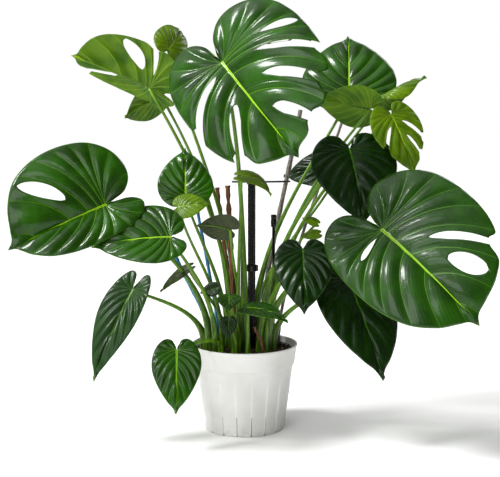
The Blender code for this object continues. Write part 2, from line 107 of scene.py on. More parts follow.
LEAVES = [
    leaf("top_centre", "split", (-0.036, -0.1, 0.65), -50, -40, 58, 0.21, 0.13, 20,
         (0.0, -0.01), 60, fold=20, cup=40, curl=5, skew=0.15, slits=TOP_SLITS, mesh=LARGE),
    leaf("front_left", "broad", (-0.23, -0.13, 0.415), -152, -20, -55, 0.168, 0.094, 10,
         (-0.062, -0.022), 35, fold=28, cup=30, skew=-0.3, slits=LEFT_SLITS, mesh=LARGE),
    leaf("front_right", "broad", (0.23, -0.13, 0.373), -48, -30, 45, 0.218, 0.127, 25,
         (0.038, -0.028), 25, fold=15, cup=25, skew=0.13, slits=RIGHT_SLITS, tone="wet",
         mesh=LARGE),
    leaf("left_second", "heart", (-0.12, -0.165, 0.365), -170, 0, -40, 0.13, 0.066, 20,
         (-0.05, -0.046), 45, skew=-0.15, mesh=MEDIUM),
    leaf("mid_left", "heart", (-0.101, -0.062, 0.423), 95, 65, 0, 0.098, 0.048, 15,
         (-0.03, 0.01), 70, mesh=MEDIUM),
    leaf("small_lime", "heart", (-0.111, -0.104, 0.409), -8, 12, 50, 0.054, 0.026, 20,
         (-0.04, 0.0), 70, tone="young"),
    leaf("centre_grey", "heart", (-0.024, -0.064, 0.367), -170, 20, 55, 0.065, 0.03, 40,
         (-0.006, 0.02), 75, tone="dull"),
    leaf("top_left", "split", (-0.166, 0.0, 0.611), 180, 25, 64, 0.142, 0.054, 12,
         (-0.02, 0.002), 60, fold=30, cup=10, skew=0.3, slits=BACK_SLITS, tone="young", mesh=LARGE),
    leaf("top_left_low", "heart", (-0.156, 0.105, 0.599), 205, -18, 52, 0.09, 0.045, 30,
         (-0.026, 0.026), 55, tone="young"),
    leaf("top_small", "heart", (-0.14, 0.1, 0.686), 60, 42, 60, 0.1, 0.04, 50,
         (-0.01, 0.038), 75, fold=20, cup=70, tone="young"),
    leaf("top_right", "heart", (0.195, 0.1, 0.6), 86, 52, 0, 0.17, 0.088, 15,
         (0.016, 0.028), 60, mesh=MEDIUM),
    leaf("right_lime", "heart", (0.224, 0.018, 0.575), 178, 12, 55, 0.1, 0.045, 10,
         (0.042, 0.018), 50, tone="young", mesh=MEDIUM),
    leaf("right_curled", "heart", (0.252, 0.058, 0.6), 20, 25, -20, 0.095, 0.045, 10,
         (0.032, 0.036), 55, cup=100, tone="young", mesh=MEDIUM),
    leaf("right_hanging", "heart", (0.26, 0.0, 0.565), -40, -60, 25, 0.115, 0.052, 15,
         (0.044, 0.002), 45, slits=HANGING_SLITS, tone="young", mesh=MEDIUM),
    # right_dark, back_dark, lower_right, mid_right, dark_bud and low_centre sit in shade and take
    # the darkest tone, which is painted shade.
    leaf("right_dark", "heart", (0.185, -0.02, 0.505), -66, -60, 10, 0.14, 0.078, 25,
         (0.028, -0.01), 50, fold=14, tone="painted_shade", mesh=MEDIUM),
    leaf("back_dark", "heart", (0.182, 0.125, 0.47), 170, -5, -45, 0.115, 0.05, 20,
         (0.014, 0.046), 65, tone="painted_shade", mesh=MEDIUM),
    leaf("lower_right", "heart", (0.18, -0.06, 0.28), -60, -50, 5, 0.19, 0.075, 15,
         (0.05, -0.014), 30, tone="painted_shade", mesh=MEDIUM),
    leaf("mid_right", "heart", (0.1, -0.1, 0.335), -90, -50, 0, 0.115, 0.05, 25,
         (0.026, -0.034), 50, tone="painted_shade", mesh=MEDIUM),
    leaf("low_left", "heart", (-0.195, -0.05, 0.26), -130, -50, -15, 0.175, 0.042, 20,
         (-0.072, -0.002), 25, fold=20, tone="muted", mesh=MEDIUM),
    leaf("low_front", "heart", (-0.115, -0.11, 0.165), -88, -50, 0, 0.112, 0.042, 25,
         (-0.04, -0.052), -20, mesh=MEDIUM),
    leaf("centre_small", "heart", (-0.026, -0.085, 0.254), -90, -20, 0, 0.04, 0.02, 25,
         (-0.008, -0.034), 70),
    leaf("above_support", "heart", (-0.005, -0.06, 0.46), -5, 0, 25, 0.07, 0.022, 80,
         (-0.012, -0.02), 80, tone="young"),
    leaf("low_right_small", "heart", (0.006, -0.075, 0.232), -25, 5, 12, 0.08, 0.03, 45,
         (0.006, -0.054), 60),
    leaf("left_strip", "heart", (-0.098, -0.05, 0.298), 185, -30, -35, 0.068, 0.013, 30,
         (-0.034, 0.024), 60, tone="dull", extra=True),
    leaf("sprout_high", "heart", (0.13, 0.0, 0.372), 180, 25, -50, 0.03, 0.01, 20,
         (0.044, 0.03), 40, tone="young", extra=True),
    leaf("sprout_low", "heart", (0.132, -0.01, 0.354), 188, -5, -50, 0.034, 0.011, 20,
         (0.04, 0.0), 40, tone="young", extra=True),
    leaf("dark_bud", "heart", (-0.048, -0.062, 0.264), 180, -12, -55, 0.032, 0.014, 20,
         (-0.02, -0.05), 70, tone="painted_shade", extra=True),
    leaf("low_centre", "heart", (-0.027, -0.078, 0.212), -95, -55, 0, 0.036, 0.015, 20,
         (-0.014, -0.058), 70, tone="painted_shade", extra=True),
]

CANES = {
    "cane_right": ((0.062, 0.026), (0.195, 0.085, 0.6), 0.003, 0.0024, "cane"),
    "cane_back": ((0.03, 0.058), (0.105, 0.12, 0.575), 0.0045, 0.004, "cane"),
    "blue_cane_tall": ((-0.048, 0.024), (-0.088, 0.024, 0.41), 0.003, 0.0027, "blue_cane"),
    "blue_cane_short": ((-0.058, 0.008), (-0.128, 0.01, 0.318), 0.004, 0.0036, "blue_cane"),
    "dried_stem_centre": ((-0.018, -0.008), (-0.03, -0.008, 0.44), 0.0042, 0.0034, "dried_stem"),
    "dried_stem_left": ((-0.02, 0.052), (-0.052, 0.098, 0.43), 0.0038, 0.0032, "dried_stem"),
    "aerial_root": ((0.034, -0.056), (0.018, -0.062, 0.195), 0.0022, 0.0018, "dried_stem"),
}

# Pot
POT_HEIGHT = 0.155
RIM_RADIUS = 0.095
BAND_HEIGHT = 0.036
BAND_FOOT = POT_HEIGHT - BAND_HEIGHT
BAND_FOOT_RADIUS = 0.0905
BAND_STEP = 0.0025
BASE_RADIUS = 0.0725
WALL = 0.0016
FLOOR = 0.003

# Plant support
POST_RADIUS = 0.006
CAP_RADIUS, CAP_HEIGHT = 0.0084, 0.008
HOOP_RADIUS = 0.15

# Camera
CAMERA_PLACE = (0.010, -1.83, 0.545)
CAMERA_DOWN = 6.25
SENSOR, LENS = 36.0, 73.9

# Light
SOFTBOX_WAY = (-0.58, -0.12, 0.80)
KEY_SPREAD, KEY_POWER = 16.0, 3.3
PLANT_MIDDLE = (0, 0, 0.35)
SOFT_LIGHTS = (("window", (-0.7, -1.8, 1.2), 1.1, 13.0), ("back", (0.9, 1.5, 1.5), 1.0, 8.0))


# ---- nodes and colours
MATH, VECTOR_MATH, MIX = "ShaderNodeMath", "ShaderNodeVectorMath", "ShaderNodeMix"
RANGE, NOISE, BUMP = "ShaderNodeMapRange", "ShaderNodeTexNoise", "ShaderNodeBump"
NAMED = "GeometryNodeInputNamedAttribute"
SPLIT, JOIN = "ShaderNodeSeparateXYZ", "ShaderNodeCombineXYZ"
PLACE, MOVE, SKIN = "ShaderNodeTexCoord", "ShaderNodeMapping", "ShaderNodeBsdfPrincipled"
ATTRIBUTE, OUTPUT = "ShaderNodeAttribute", "ShaderNodeOutputMaterial"
SMOOTH, BLEND = {"interpolation_type": "SMOOTHSTEP"}, {"data_type": "RGBA"}
TIMES, LESS, GROW = {"operation": "MULTIPLY"}, {"operation": "SUBTRACT"}, {"operation": "SCALE"}


def colour(code):
    """An sRGB hex colour as linear RGBA."""
    parts = [int(code[i:i + 2], 16) / 255 for i in (1, 3, 5)]
    linear = [c / 12.92 if c <= 0.04045 else ((c + 0.055) / 1.055) ** 2.4 for c in parts]
    return (*linear, 1.0)


def add(tree, kind, *values, **named):
    """Add a node. Values fill its shown sockets in order. A name with a capital is a socket's
    (Base_Color), and any other name is a setting. A node or socket given as a value is linked."""
    node = tree.nodes.new(kind)
    for name, value in named.items():
        if name[0].islower():
            setattr(node, name, value)
    shown = [socket for socket in node.inputs if socket.enabled]
    given = list(zip(shown, values))
    for name, value in named.items():
        if name[0].isupper():
            given.append((next(s for s in shown if s.name == name.replace("_", " ")), value))
    for socket, value in given:
        if isinstance(value, bpy.types.Node):
            value = next(s for s in value.outputs if s.enabled)
        if isinstance(value, bpy.types.NodeSocket):
            tree.links.new(value, socket)
        elif value is not None:
            socket.default_value = value
    return node


def new_material(name):
    """An empty material, its tree, and a socket with the place on the piece in metres."""
    material = bpy.data.materials.new(name)
    material.use_nodes = True
    tree = material.node_tree
    tree.nodes.clear()
    return material, tree, add(tree, PLACE).outputs["Object"]


# ---- materials
# A noise scale is in features a metre, so 700 is a grain of 1.4 mm. Real grain on a leaf, a cane or
# a moulding is finer, and is drawn this coarse so that it shows.
TOP_GLOW, UNDER_GLOW = 0.16, 0.20        # share of light that passes through a blade
LEAF_TONES = {
    # deep green, lighter green, side vein, midrib, roughness, coat, grain in mm
    "deep": ("#193C01", "#275A02", "#5A9008", "#A4DC16", 0.22, 0.30, 0.16),
    "wet": ("#173B03", "#235004", "#588E10", "#9ED618", 0.22, 0.40, 0.60),
    # The darkest tone is painted shade: the deep leaf painted much darker for leaves that sit in
    # the canopy's shade.
    "painted_shade": ("#0A2202", "#102F03", "#1E4807", "#356810", 0.26, 0.05, 0.14),
    "young": ("#466802", "#668804", "#86A812", "#A8CE26", 0.32, 0.08, 0.08),
    "muted": ("#1C3A14", "#28491C", "#3F6628", "#648E3A", 0.30, 0.05, 0.14),
    "dull": ("#29360F", "#37451A", "#465422", "#56682C", 0.40, 0.05, 0.10),
}


def vein_pattern(tree):
    """Where a blade's veins lie: the side veins' count, the share of the way to the margin, the
    distance from a side vein in spacings and in vein widths, and from the midrib in its widths."""
    veins = add(tree, SPLIT, add(tree, "ShaderNodeUVMap", uv_map="veins"))
    gap = add(tree, ATTRIBUTE, attribute_name="gap").outputs["Fac"]
    rib_share = add(tree, ATTRIBUTE, attribute_name="rib").outputs["Fac"]
    phase = add(tree, MATH, veins.outputs["X"], operation="FRACT")
    offset = add(tree, MATH, phase, 0.5, **LESS)
    offset = add(tree, MATH, offset, operation="ABSOLUTE")
    distance = add(tree, MATH, offset, gap, **TIMES)
    return veins.outputs["X"], veins.outputs["Y"], offset, distance, rib_share


def leaf_top(tone):
    """Upper side of a monstera leaf: a waxy skin over dark green flesh, with paler sunk veins and
    a bright midrib. The wax gives sharp highlights, broken by the quilting and a fine grain."""
    deep, light, vein, rib, roughness, coat, grain = LEAF_TONES[tone]
    material, tree, place = new_material("waxy_leaf_" + tone)
    across, outward, offset, distance, rib_share = vein_pattern(tree)
    slim = add(tree, RANGE, outward, 0.0, 1.0, 1.0, 0.25)
    widths = add(tree, MATH, distance, slim, operation="DIVIDE")
    on_vein = add(tree, RANGE, widths, 0.35, 1.3, 0.80, 0.0, **SMOOTH)
    near_vein = add(tree, RANGE, offset, 0.02, 0.30, 0.30, 0.0, **SMOOTH)
    many = add(tree, MATH, add(tree, MATH, across, 7.0, **TIMES), operation="FRACT")
    fine = add(tree, MATH, add(tree, MATH, many, 0.5, **LESS), operation="ABSOLUTE")
    on_fine = add(tree, RANGE, fine, 0.03, 0.22, 0.16, 0.0, **SMOOTH)
    on_rib = add(tree, RANGE, rib_share, 0.75, 1.15, 1.0, 0.0, **SMOOTH)
    at_edge = add(tree, RANGE, outward, 0.982, 0.998, 0.0, 0.6, **SMOOTH)
    cloud = add(tree, NOISE, place, 22.0, 3.0)
    patches = add(tree, RANGE, cloud, 0.35, 0.68, **SMOOTH)
    body = add(tree, MIX, patches, colour(deep), colour(light), **BLEND)
    for mask, tint in ((near_vein, light), (on_fine, light), (on_vein, vein), (at_edge, vein),
                       (on_rib, rib)):
        body = add(tree, MIX, mask, body, colour(tint), **BLEND)
    film = add(tree, NOISE, place, 60.0, 3.0)
    rough = add(tree, RANGE, film, 0.3, 0.75, roughness - 0.07, roughness + 0.12)
    grooves = add(tree, MATH, on_fine, -3.0, **TIMES)
    grit = add(tree, NOISE, place, 700.0, 2.0)
    pebble = add(tree, MATH, grit, 0.9, grooves, operation="MULTIPLY_ADD")
    bump = add(tree, BUMP, Strength=0.55, Distance=grain * MM, Height=pebble)
    skin = add(tree, SKIN, Base_Color=body, Roughness=rough, IOR=1.31, Normal=bump,
               Coat_Weight=coat, Coat_Roughness=0.12, Coat_IOR=1.45)
    glow = add(tree, "ShaderNodeBsdfTranslucent", Color=body)
    add(tree, OUTPUT, add(tree, "ShaderNodeMixShader", TOP_GLOW, skin, glow))
    return material


UNDER_TONES = {
    # low parts, high parts, veins
    "deep": ("#44740C", "#6C961C", "#A4C048"),
    "wet": ("#44740C", "#6C961C", "#A4C048"),
    # The darkest underside is painted shade: the same underside painted darker for the shaded
    # leaves.
    "painted_shade": ("#1E3809", "#365812", "#557A2C"),
    "young": ("#3C6A03", "#648C08", "#8CB022"),
    "muted": ("#42602A", "#62803E", "#86A056"),
    "dull": ("#333C24", "#464F32", "#5A6440"),
}


def leaf_under(tone):
    """Underside of the leaf: no wax shine, paler and yellower flesh with raised pale veins."""
    low, high, vein = UNDER_TONES[tone]
    material, tree, place = new_material("leaf_underside_" + tone)
    _, _, _, distance, rib_share = vein_pattern(tree)
    on_vein = add(tree, RANGE, distance, 0.4, 1.6, 0.5, 0.0, **SMOOTH)
    on_rib = add(tree, RANGE, rib_share, 0.8, 1.3, 0.7, 0.0, **SMOOTH)
    cloud = add(tree, NOISE, place, 30.0, 3.0)
    patches = add(tree, RANGE, cloud, 0.3, 0.7, **SMOOTH)
    body = add(tree, MIX, patches, colour(low), colour(high), **BLEND)
    for mask in (on_vein, on_rib):
        body = add(tree, MIX, mask, body, colour(vein), **BLEND)
    grit = add(tree, NOISE, place, 700.0, 2.0)
    relief = add(tree, MATH, grit, 0.5, on_vein, operation="MULTIPLY_ADD")
    bump = add(tree, BUMP, Strength=0.4, Distance=0.3 * MM, Height=relief)
    skin = add(tree, SKIN, Base_Color=body, Roughness=0.55, IOR=1.38, Normal=bump)
    glow = add(tree, "ShaderNodeBsdfTranslucent", Color=body)
    add(tree, OUTPUT, add(tree, "ShaderNodeMixShader", UNDER_GLOW, skin, glow))
    return material


def stalk_skin():
    """Petiole skin: smooth and slightly waxy, yellow-green, darker towards the soil, with fine
    lengthwise streaks and pale flecks."""
    material, tree, place = new_material("petiole_skin")
    along = add(tree, ATTRIBUTE, attribute_name="along").outputs["Fac"]
    streaks = add(tree, NOISE, add(tree, MOVE, place, Scale=(1.0, 1.0, 0.06)), 260.0, 2.0)
    flecks = add(tree, NOISE, add(tree, MOVE, place, Scale=(1.0, 1.0, 0.5)), 420.0, 1.0)
    rising = add(tree, RANGE, along, 0.0, 0.55, **SMOOTH)
    ending = add(tree, RANGE, along, 0.90, 1.0, **SMOOTH)
    light_streak = add(tree, RANGE, streaks, 0.42, 0.72, **SMOOTH)
    pale_fleck = add(tree, RANGE, flecks, 0.68, 0.76, 0.0, 0.4, **SMOOTH)
    body = add(tree, MIX, rising, colour("#243F04"), colour("#4E780C"), **BLEND)
    for mask, tint in ((ending, "#84B81C"), (light_streak, "#648F16"), (pale_fleck, "#9AB84A")):
        body = add(tree, MIX, mask, body, colour(tint), **BLEND)
    bump = add(tree, BUMP, Strength=0.35, Distance=0.25 * MM, Height=streaks)
    add(tree, OUTPUT, add(tree, SKIN, Base_Color=body, Roughness=0.36, IOR=1.38, Normal=bump,
                          Coat_Weight=0.05, Coat_Roughness=0.25))
    return material


def pot_plastic():
    """Thin polypropylene, injection moulded: white, with a soft waxy sheen, faint flow lines and
    a little dust near the base."""
    material, tree, place = new_material("moulded_white_plastic")
    height = add(tree, SPLIT, place).outputs["Z"]
    cloud = add(tree, NOISE, place, 18.0, 3.0)
    cloud = add(tree, RANGE, cloud, 0.35, 0.7, **SMOOTH)
    low = add(tree, RANGE, height, 0.028, 0.0, 0.0, 0.45, **SMOOTH)
    specks = add(tree, NOISE, place, 90.0, 4.0)
    specks = add(tree, RANGE, specks, 0.45, 0.7, **SMOOTH)
    dust = add(tree, MATH, low, specks, **TIMES)
    body = add(tree, MIX, cloud, colour("#E4E3E1"), colour("#DAD9D6"), **BLEND)
    body = add(tree, MIX, dust, body, colour("#B9B3A8"), **BLEND)
    rough = add(tree, RANGE, add(tree, NOISE, place, 45.0, 3.0), 0.3, 0.7, 0.34, 0.48)
    grain = add(tree, NOISE, place, 420.0, 2.0)
    bump = add(tree, BUMP, Strength=0.25, Distance=0.12 * MM, Height=grain)
    add(tree, OUTPUT, add(tree, SKIN, Base_Color=body, Roughness=rough, IOR=1.49, Normal=bump,
                          Subsurface_Weight=0.08, Subsurface_Radius=(0.004, 0.004, 0.004)))
    return material


def broken_matter(name, low, high, pale, scale, roughness, depth):
    """Something dry and broken, such as potting mix, bark or perlite: two tones and pale specks.
    The scale is in lumps a metre and the depth in mm."""
    material, tree, place = new_material(name)
    lumps = add(tree, NOISE, place, scale, 4.0)
    lumps = add(tree, RANGE, lumps, 0.35, 0.65, **SMOOTH)
    specks = add(tree, RANGE, add(tree, NOISE, place, scale * 3, 2.0), 0.66, 0.72, 0.0, 0.6)
    body = add(tree, MIX, lumps, colour(low), colour(high), **BLEND)
    body = add(tree, MIX, specks, body, colour(pale), **BLEND)
    rubble = add(tree, NOISE, place, scale * 2, 4.0)
    bump = add(tree, BUMP, Strength=0.8, Distance=depth * MM, Height=rubble)
    add(tree, OUTPUT, add(tree, SKIN, Base_Color=body, Roughness=roughness, Normal=bump))
    return material


def fibrous(name, low, high, roughness):
    """A cane, a dried sheath or a root: lengthwise fibres 2 mm apart in two tones."""
    material, tree, place = new_material(name)
    place = add(tree, MOVE, place, Scale=(1.0, 1.0, 0.05))
    fibres = add(tree, NOISE, place, 500.0, 3.0)
    share = add(tree, RANGE, fibres, 0.35, 0.65, **SMOOTH)
    body = add(tree, MIX, share, colour(low), colour(high), **BLEND)
    bump = add(tree, BUMP, Strength=0.6, Distance=0.3 * MM, Height=fibres)
    add(tree, OUTPUT, add(tree, SKIN, Base_Color=body, Roughness=roughness, Normal=bump))
    return material


def black_plastic():
    """Extruded black polyethylene: a dull satin skin with faint drawn lines along it."""
    material, tree, place = new_material("black_support_plastic")
    drawn = add(tree, NOISE, add(tree, MOVE, place, Scale=(1.0, 1.0, 0.04)), 380.0, 2.0)
    share = add(tree, RANGE, drawn, 0.35, 0.7, **SMOOTH)
    rough = add(tree, RANGE, add(tree, NOISE, place, 70.0, 2.0), 0.3, 0.7, 0.20, 0.32)
    body = add(tree, MIX, share, colour("#040405"), colour("#0D0D0E"), **BLEND)
    bump = add(tree, BUMP, Strength=0.4, Distance=0.2 * MM, Height=drawn)
    add(tree, OUTPUT, add(tree, SKIN, Base_Color=body, Roughness=rough, IOR=1.38, Normal=bump))
    return material


def floor_paint():
    """The studio floor: matt pale paper."""
    material, tree, place = new_material("pale_paper")
    tint = add(tree, NOISE, place, 3.0)
    body = add(tree, MIX, tint, colour("#FAFAF9"), colour("#F7F7F6"), **BLEND)
    add(tree, OUTPUT, add(tree, SKIN, Base_Color=body, Roughness=0.85))
    return material


# ---- geometry nodes
def new_tree(name, **inputs):
    """A geometry tree with named inputs. Returns the tree, the mesh socket and the inputs."""
    tree = bpy.data.node_groups.new(name, "GeometryNodeTree")
    tree.interface.new_socket("Geometry", in_out="INPUT", socket_type="NodeSocketGeometry")
    kinds = {float: "Float", int: "Int", tuple: "Vector", type(None): "Material"}
    for label, value in {**inputs, "material": None}.items():
        kind = "NodeSocket" + kinds[type(value)]
        socket = tree.interface.new_socket(label, in_out="INPUT", socket_type=kind)
        if value is not None:
            socket.default_value = value
    tree.interface.new_socket("Geometry", in_out="OUTPUT", socket_type="NodeSocketGeometry")
    given = tree.nodes.new("NodeGroupInput").outputs
    return tree, given["Geometry"], given


def end_tree(tree, geometry, material):
    """Every tree ends the same way: real geometry, with its material."""
    real = add(tree, "GeometryNodeRealizeInstances", geometry)
    finished = add(tree, "GeometryNodeSetMaterial", real, Material=material)
    add(tree, "NodeGroupOutput", Geometry=finished)


def tube_tree():
    """A tube along each chain of edges, as thick as its radius attribute says, with lengthwise
    ribs if wanted. Rib depth is a share of the radius."""
    tree, chains, given = new_tree("tube_along_path", sides=14, ribs=0.0, rib_depth=0.0)
    radius = add(tree, NAMED, "radius", data_type="FLOAT")
    path = add(tree, "GeometryNodeMeshToCurve", chains)
    ring = add(tree, "GeometryNodeCurvePrimitiveCircle", mode="RADIUS",
               Resolution=given["sides"], Radius=1.0)
    spot = add(tree, SPLIT, add(tree, "GeometryNodeInputPosition"))
    angle = add(tree, MATH, spot.outputs["Y"], spot.outputs["X"], operation="ARCTAN2")
    turns = add(tree, MATH, angle, given["ribs"], **TIMES)
    ridge = add(tree, MATH, turns, operation="COSINE")
    swell = add(tree, MATH, ridge, given["rib_depth"], 1.0, operation="MULTIPLY_ADD")
    spot = add(tree, "GeometryNodeInputPosition")
    shaped = add(tree, VECTOR_MATH, spot, Scale=swell, **GROW)
    profile = add(tree, "GeometryNodeSetPosition", ring, Position=shaped)
    tube = add(tree, "GeometryNodeCurveToMesh", path, profile, Scale=radius, Fill_Caps=True)
    end_tree(tree, add(tree, "GeometryNodeSetShadeSmooth", tube), given["material"])
    return tree


def relief_tree():
    """The blade's relief: panels between the side veins puffed outwards, the veins left sunk, and
    a fine crinkle. The puff is a share of the veins' spacing."""
    tree, blade, given = new_tree("blade_relief", puff=PUFF, widest=0.03, crinkle=CRINKLE,
                                  crinkle_scale=160.0)
    count, outward, spacing = (add(tree, NAMED, name, data_type="FLOAT")
                               for name in ("count", "outward", "spacing"))
    wave = add(tree, MATH, add(tree, MATH, count, pi, **TIMES), operation="COSINE")
    panel = add(tree, MATH, add(tree, MATH, wave, operation="ABSOLUTE"), 0.8, operation="POWER")
    arch = add(tree, MATH, add(tree, MATH, outward, pi, **TIMES), operation="SINE")
    arch = add(tree, MATH, add(tree, MATH, arch, 0.0, operation="MAXIMUM"), 0.6, operation="POWER")
    room = add(tree, MATH, spacing, given["widest"], operation="MINIMUM")
    puff = add(tree, MATH, add(tree, MATH, panel, arch, **TIMES),
               add(tree, MATH, room, given["puff"], **TIMES), **TIMES)
    grain = add(tree, NOISE, None, given["crinkle_scale"], 2.0)
    grain = add(tree, MATH, grain, 0.5, **LESS)
    crinkle = add(tree, MATH, grain, given["crinkle"], **TIMES)
    height = add(tree, MATH, crinkle, arch, puff, operation="MULTIPLY_ADD")
    outwards = add(tree, "GeometryNodeInputNormal")
    push = add(tree, VECTOR_MATH, outwards, Scale=height, **GROW)
    moved = add(tree, "GeometryNodeSetPosition", blade, Offset=push)
    end_tree(tree, add(tree, "GeometryNodeSetShadeSmooth", moved), given["material"])
    return tree


def crumb_tree():
    """Soil crumbs and bark chips scattered over a surface, each turned and sized at random."""
    tree, ground, given = new_tree("scattered_crumbs", density=9000.0, smallest=0.6, largest=1.6,
                                   chip_size=(0.003, 0.002, 0.0014), seed=3)
    points = add(tree, "GeometryNodeDistributePointsOnFaces", ground,
                 Density=given["density"], Seed=given["seed"])
    block = add(tree, "GeometryNodeMeshCube", (1.0, 1.0, 1.0), 3, 3, 3)
    bend = add(tree, NOISE, None, 1.7, 1.0).outputs["Color"]
    bend = add(tree, VECTOR_MATH, bend, (0.5, 0.5, 0.5), **LESS)
    spot = add(tree, "GeometryNodeInputPosition")
    round_spot = add(tree, VECTOR_MATH, spot, operation="NORMALIZE")
    round_spot = add(tree, VECTOR_MATH, round_spot, Scale=0.55, **GROW)
    chip = add(tree, "GeometryNodeSetPosition", block, Position=round_spot, Offset=bend)
    sized = add(tree, "GeometryNodeTransform", chip, Scale=given["chip_size"])
    spin = add(tree, "FunctionNodeRandomValue", Max=(2 * pi, 2 * pi, 2 * pi), Seed=given["seed"],
               data_type="FLOAT_VECTOR")
    size = add(tree, "FunctionNodeRandomValue", given["smallest"], given["largest"],
               Seed=given["seed"], data_type="FLOAT")
    placed = add(tree, "GeometryNodeInstanceOnPoints", points, Instance=sized, Rotation=spin,
                 Scale=size)
    end_tree(tree, placed, given["material"])
    return tree


def pot_wall_tree():
    """The pot's wall below its band: shallow upright panels, each rising slowly from one edge and
    dropping sharply at the next, then openings cut through at the base in a ring."""
    tree, wall, given = new_tree(
        "panelled_pot_wall", panels=18.0, depth=0.0017, foot=0.001, top=0.117, notches=18,
        notch_size=(0.012, 0.0035, 0.008), slit_size=(0.014, 0.0011, 0.034), ring=0.0735,
        slit_height=0.019)
    spot = add(tree, SPLIT, add(tree, "GeometryNodeInputPosition"))
    x, y, z = (spot.outputs[axis] for axis in "XYZ")
    angle = add(tree, MATH, y, x, operation="ARCTAN2")
    turn = add(tree, MATH, angle, 2 * pi, operation="DIVIDE")
    turn = add(tree, MATH, turn, given["panels"], **TIMES)
    share = add(tree, MATH, turn, operation="FRACT")
    slope = add(tree, RANGE, share, 0.0, 0.86, 0.0, 1.0, **SMOOTH)
    drop = add(tree, RANGE, share, 0.93, 1.0, 1.0, 0.0, **SMOOTH)
    dip = add(tree, MATH, slope, drop, **TIMES)
    below_top = add(tree, MATH, given["top"], 0.030, **LESS)
    fade_top = add(tree, RANGE, z, given["top"], below_top, **SMOOTH)
    above_foot = add(tree, MATH, given["foot"], 0.004, operation="ADD")
    fade_foot = add(tree, RANGE, z, given["foot"], above_foot, **SMOOTH)
    inward = dip
    for factor in (fade_top, fade_foot, -1.0, given["depth"]):
        inward = add(tree, MATH, inward, factor, **TIMES)
    outward = add(tree, VECTOR_MATH, add(tree, JOIN, x, y), operation="NORMALIZE")
    push = add(tree, VECTOR_MATH, outward, Scale=inward, **GROW)
    panelled = add(tree, "GeometryNodeSetPosition", wall, Offset=push)
    ring = add(tree, "GeometryNodeMeshCircle", given["notches"], given["ring"])
    facing = add(tree, JOIN, Z=add(tree, MATH, y, x, operation="ARCTAN2"))
    notch = add(tree, "GeometryNodeMeshCube", given["notch_size"], 2, 2, 2)
    slit = add(tree, "GeometryNodeMeshCube", given["slit_size"], 2, 2, 2)
    lift = add(tree, JOIN, Z=given["slit_height"])
    lifted = add(tree, "GeometryNodeTransform", slit, Translation=lift)
    cutters = add(tree, "GeometryNodeJoinGeometry")
    tree.links.new(notch.outputs["Mesh"], cutters.inputs[0])
    tree.links.new(lifted.outputs[0], cutters.inputs[0])
    tool = add(tree, "GeometryNodeInstanceOnPoints", ring, Instance=cutters, Rotation=facing)
    real = add(tree, "GeometryNodeRealizeInstances", tool)
    cut = add(tree, "GeometryNodeMeshBoolean", panelled, real, operation="DIFFERENCE",
              solver="EXACT", Self_Intersection=True)
    end_tree(tree, cut, given["material"])
    return tree


def apply_tree(item, tree, **values):
    """Run a tree on an object with the given inputs, and keep the result as a plain mesh."""
    change = item.modifiers.new("shape", "NODES")
    change.node_group = tree
    sockets = {s.name: s.identifier for s in tree.interface.items_tree if s.in_out == "INPUT"}
    for label, value in values.items():
        change[sockets[label]] = value
    return bake(item)


def bake(item):
    """Turn an object with modifiers into a plain mesh."""
    view = bpy.context.evaluated_depsgraph_get()
    mesh = bpy.data.meshes.new_from_object(item.evaluated_get(view), depsgraph=view)
    item.modifiers.clear()
    item.data = mesh
    return item


def put(name, data, place=(0, 0, 0), facing=None):
    """Put an object in the scene, with its -Z facing a way if one is given."""
    item = bpy.data.objects.new(name, data)
    bpy.context.scene.collection.objects.link(item)
    item.location = place
    if facing:
        item.rotation_euler = Vector(facing).to_track_quat("-Z", "Y").to_euler()
    return item


def mesh_object(name, points, edges, faces):
    mesh = bpy.data.meshes.new(name)
    mesh.from_pydata([tuple(point) for point in points], edges, faces)
    return put(name, mesh)


def give_values(item, values):
    """Store named numbers on an object's points."""
    for name, numbers in values.items():
        attribute = item.data.attributes.new(name, "FLOAT", "POINT")
        attribute.data.foreach_set("value", np.array(numbers))


def weld(item, turn_out=False):
    """Merge an object's doubled points, and turn its faces outwards if asked."""
    bm = bmesh.new()
    bm.from_mesh(item.data)
    bmesh.ops.remove_doubles(bm, verts=bm.verts, dist=WELD)
    if turn_out:
        bmesh.ops.dissolve_degenerate(bm, edges=bm.edges, dist=WELD)
        bmesh.ops.recalc_face_normals(bm, faces=bm.faces)
    bm.to_mesh(item.data)
    bm.free()


def keep(item, slot, *nodes):
    """The piece rides with the plant and stands for its CAD nodes, which are hidden. Its slot is
    not used.
    """
    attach(item, BODY)
    if nodes:
        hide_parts(*nodes)


# ---- blades
def outline(kind, t):
    """A smooth curve through the outline's points, t from the sinus to the tip."""
    points = np.array(OUTLINES[kind])
    steps = np.linalg.norm(np.diff(points * (1.0, 0.5), axis=0), axis=1)
    ends = np.concatenate(([0.0], np.cumsum(steps) / steps.sum()))
    padded = np.vstack((2 * points[0] - points[1], points, 2 * points[-1] - points[-2]))
    index = np.clip(np.searchsorted(ends, t, side="right") - 1, 0, len(steps) - 1)
    u = ((t - ends[index]) / (ends[index + 1] - ends[index]))[..., None]
    a, b, c, d = (padded[index + k] for k in range(4))
    return 0.5 * (2 * b + (c - a) * u + (2 * a - 5 * b + 4 * c - d) * u ** 2
                  + (3 * b - a - 3 * c + d) * u ** 3)


def half_width(blade, side):
    return blade["width"] * (1 + side * blade["skew"])


def flat_points(blade, side, t, r):
    """Flat half blade: t along the margin, r from midrib to margin on a side vein."""
    edge = outline(blade["kind"], t) * (blade["length"], half_width(blade, side))
    share = np.clip((t - VEIN_START) / (1 - VEIN_START), 0, None)
    root = np.stack((blade["length"] * share ** 3, np.zeros_like(t)), -1)
    bend = np.stack((root[..., 0] + 0.25 * (edge[..., 0] - root[..., 0]), 0.65 * edge[..., 1]), -1)
    r = r[..., None]
    return (1 - r) ** 2 * root + 2 * r * (1 - r) * bend + r * r * edge


